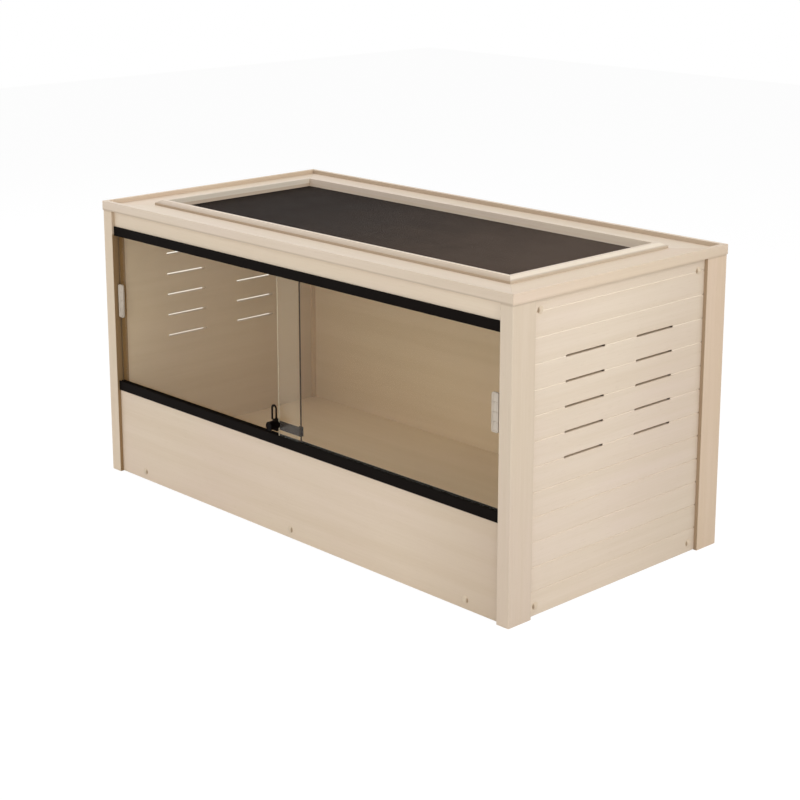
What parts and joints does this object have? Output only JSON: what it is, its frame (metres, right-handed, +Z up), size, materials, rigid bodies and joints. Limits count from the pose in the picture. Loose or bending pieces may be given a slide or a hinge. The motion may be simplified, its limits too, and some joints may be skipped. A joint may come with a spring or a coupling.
{
  "type": "terrarium cabinet",
  "caption": "Long wooden terrarium cabinet with a screen set in its top, grooved side panels with vent slots, and sliding glass doors held by a ratchet lock.",
  "frame": {"origin": "on the floor, under the middle of the cabinet", "axes": "+Z up, +X along the cabinet to the right as seen from the doors, the doors face -Y"},
  "size_m": [1.22, 0.6245, 0.616],
  "materials": {
    "wood_front": "satin, vertical and horizontal fine grain",
    "wood_side": "satin, fine horizontal grain",
    "wood_top": "satin, fine grain",
    "wood_inside": "satin",
    "screen_wire": "matt",
    "track_plastic": "satin",
    "door_glass": "polished",
    "handle_plastic": "gloss",
    "pad_foam": "matt",
    "lock_black": "satin",
    "plug_metal": "brushed",
    "key_plastic": "satin",
    "screw_steel": "zinc plated",
    "cover_plastic": "satin"
  },
  "bodies": {
    "cabinet": {"post_front_left": "wood_front", "post_front_right": "wood_front", "post_rear_left": "wood_front", "post_rear_right": "wood_front", "kick_panel": "wood_front", "front_top_rail": "wood_front", "left_side_panel": "wood_side", "right_side_panel": "wood_side", "back_panel": "wood_front", "floor_panel": "wood_inside", "floor_batten_front": "wood_inside", "floor_batten_rear": "wood_inside", "floor_batten_left": "wood_inside", "floor_batten_right": "wood_inside", "top_batten_front": "wood_inside", "top_batten_rear": "wood_inside", "top_batten_left": "wood_inside", "top_batten_right": "wood_inside", "cap_rail_front": "wood_top", "cap_rail_rear": "wood_top", "cap_rail_left": "wood_top", "cap_rail_right": "wood_top", "top_board_front": "wood_top", "top_board_rear": "wood_top", "top_board_left": "wood_top", "top_board_right": "wood_top", "screen_frame_front": "wood_top", "screen_frame_rear": "wood_top", "screen_frame_left": "wood_top", "screen_frame_right": "wood_top", "mesh_screen": "screen_wire", "screen_retainers": "wood_inside", "upper_track": "track_plastic", "lower_track": "track_plastic", "front_screws": "screw_steel", "left_side_screws": "screw_steel", "right_side_screws": "screw_steel", "back_screws": "screw_steel", "cap_screws": "screw_steel", "front_screw_covers": "cover_plastic", "left_side_screw_covers": "cover_plastic", "right_side_screw_covers": "cover_plastic", "back_screw_covers": "cover_plastic"},
    "left_door": {"left_glass": "door_glass", "left_handle": "handle_plastic", "left_handle_pad": "pad_foam", "ratchet_bar": "lock_black"},
    "right_door": {"right_glass": "door_glass", "right_handle": "handle_plastic", "right_handle_pad": "pad_foam"},
    "lock": {"lock_barrel": "lock_black"},
    "plug": {"lock_plug": "plug_metal"},
    "key": {"door_key": "key_plastic"}
  },
  "joints": [
    {"name": "left_door_slide", "type": "slide", "parent": "cabinet", "child": "left_door", "axis": [1, 0, 0], "range_m": [0, 0.51]},
    {"name": "right_door_slide", "type": "slide", "parent": "cabinet", "child": "right_door", "axis": [1, 0, 0], "range_m": [-0.51, 0]},
    {"name": "lock_slide", "type": "slide", "parent": "right_door", "child": "lock", "axis": [-1, 0, 0], "range_m": [0, 0.02]},
    {"name": "plug_turn", "type": "hinge", "parent": "lock", "child": "plug", "pos_m": [-0.035, -0.304, 0.234], "axis": [0, 0, -1], "range_deg": [0, 90]},
    {"name": "key_lift", "type": "slide", "parent": "plug", "child": "key", "axis": [0, 0, 1], "range_m": [0, 0.03]}
  ]
}
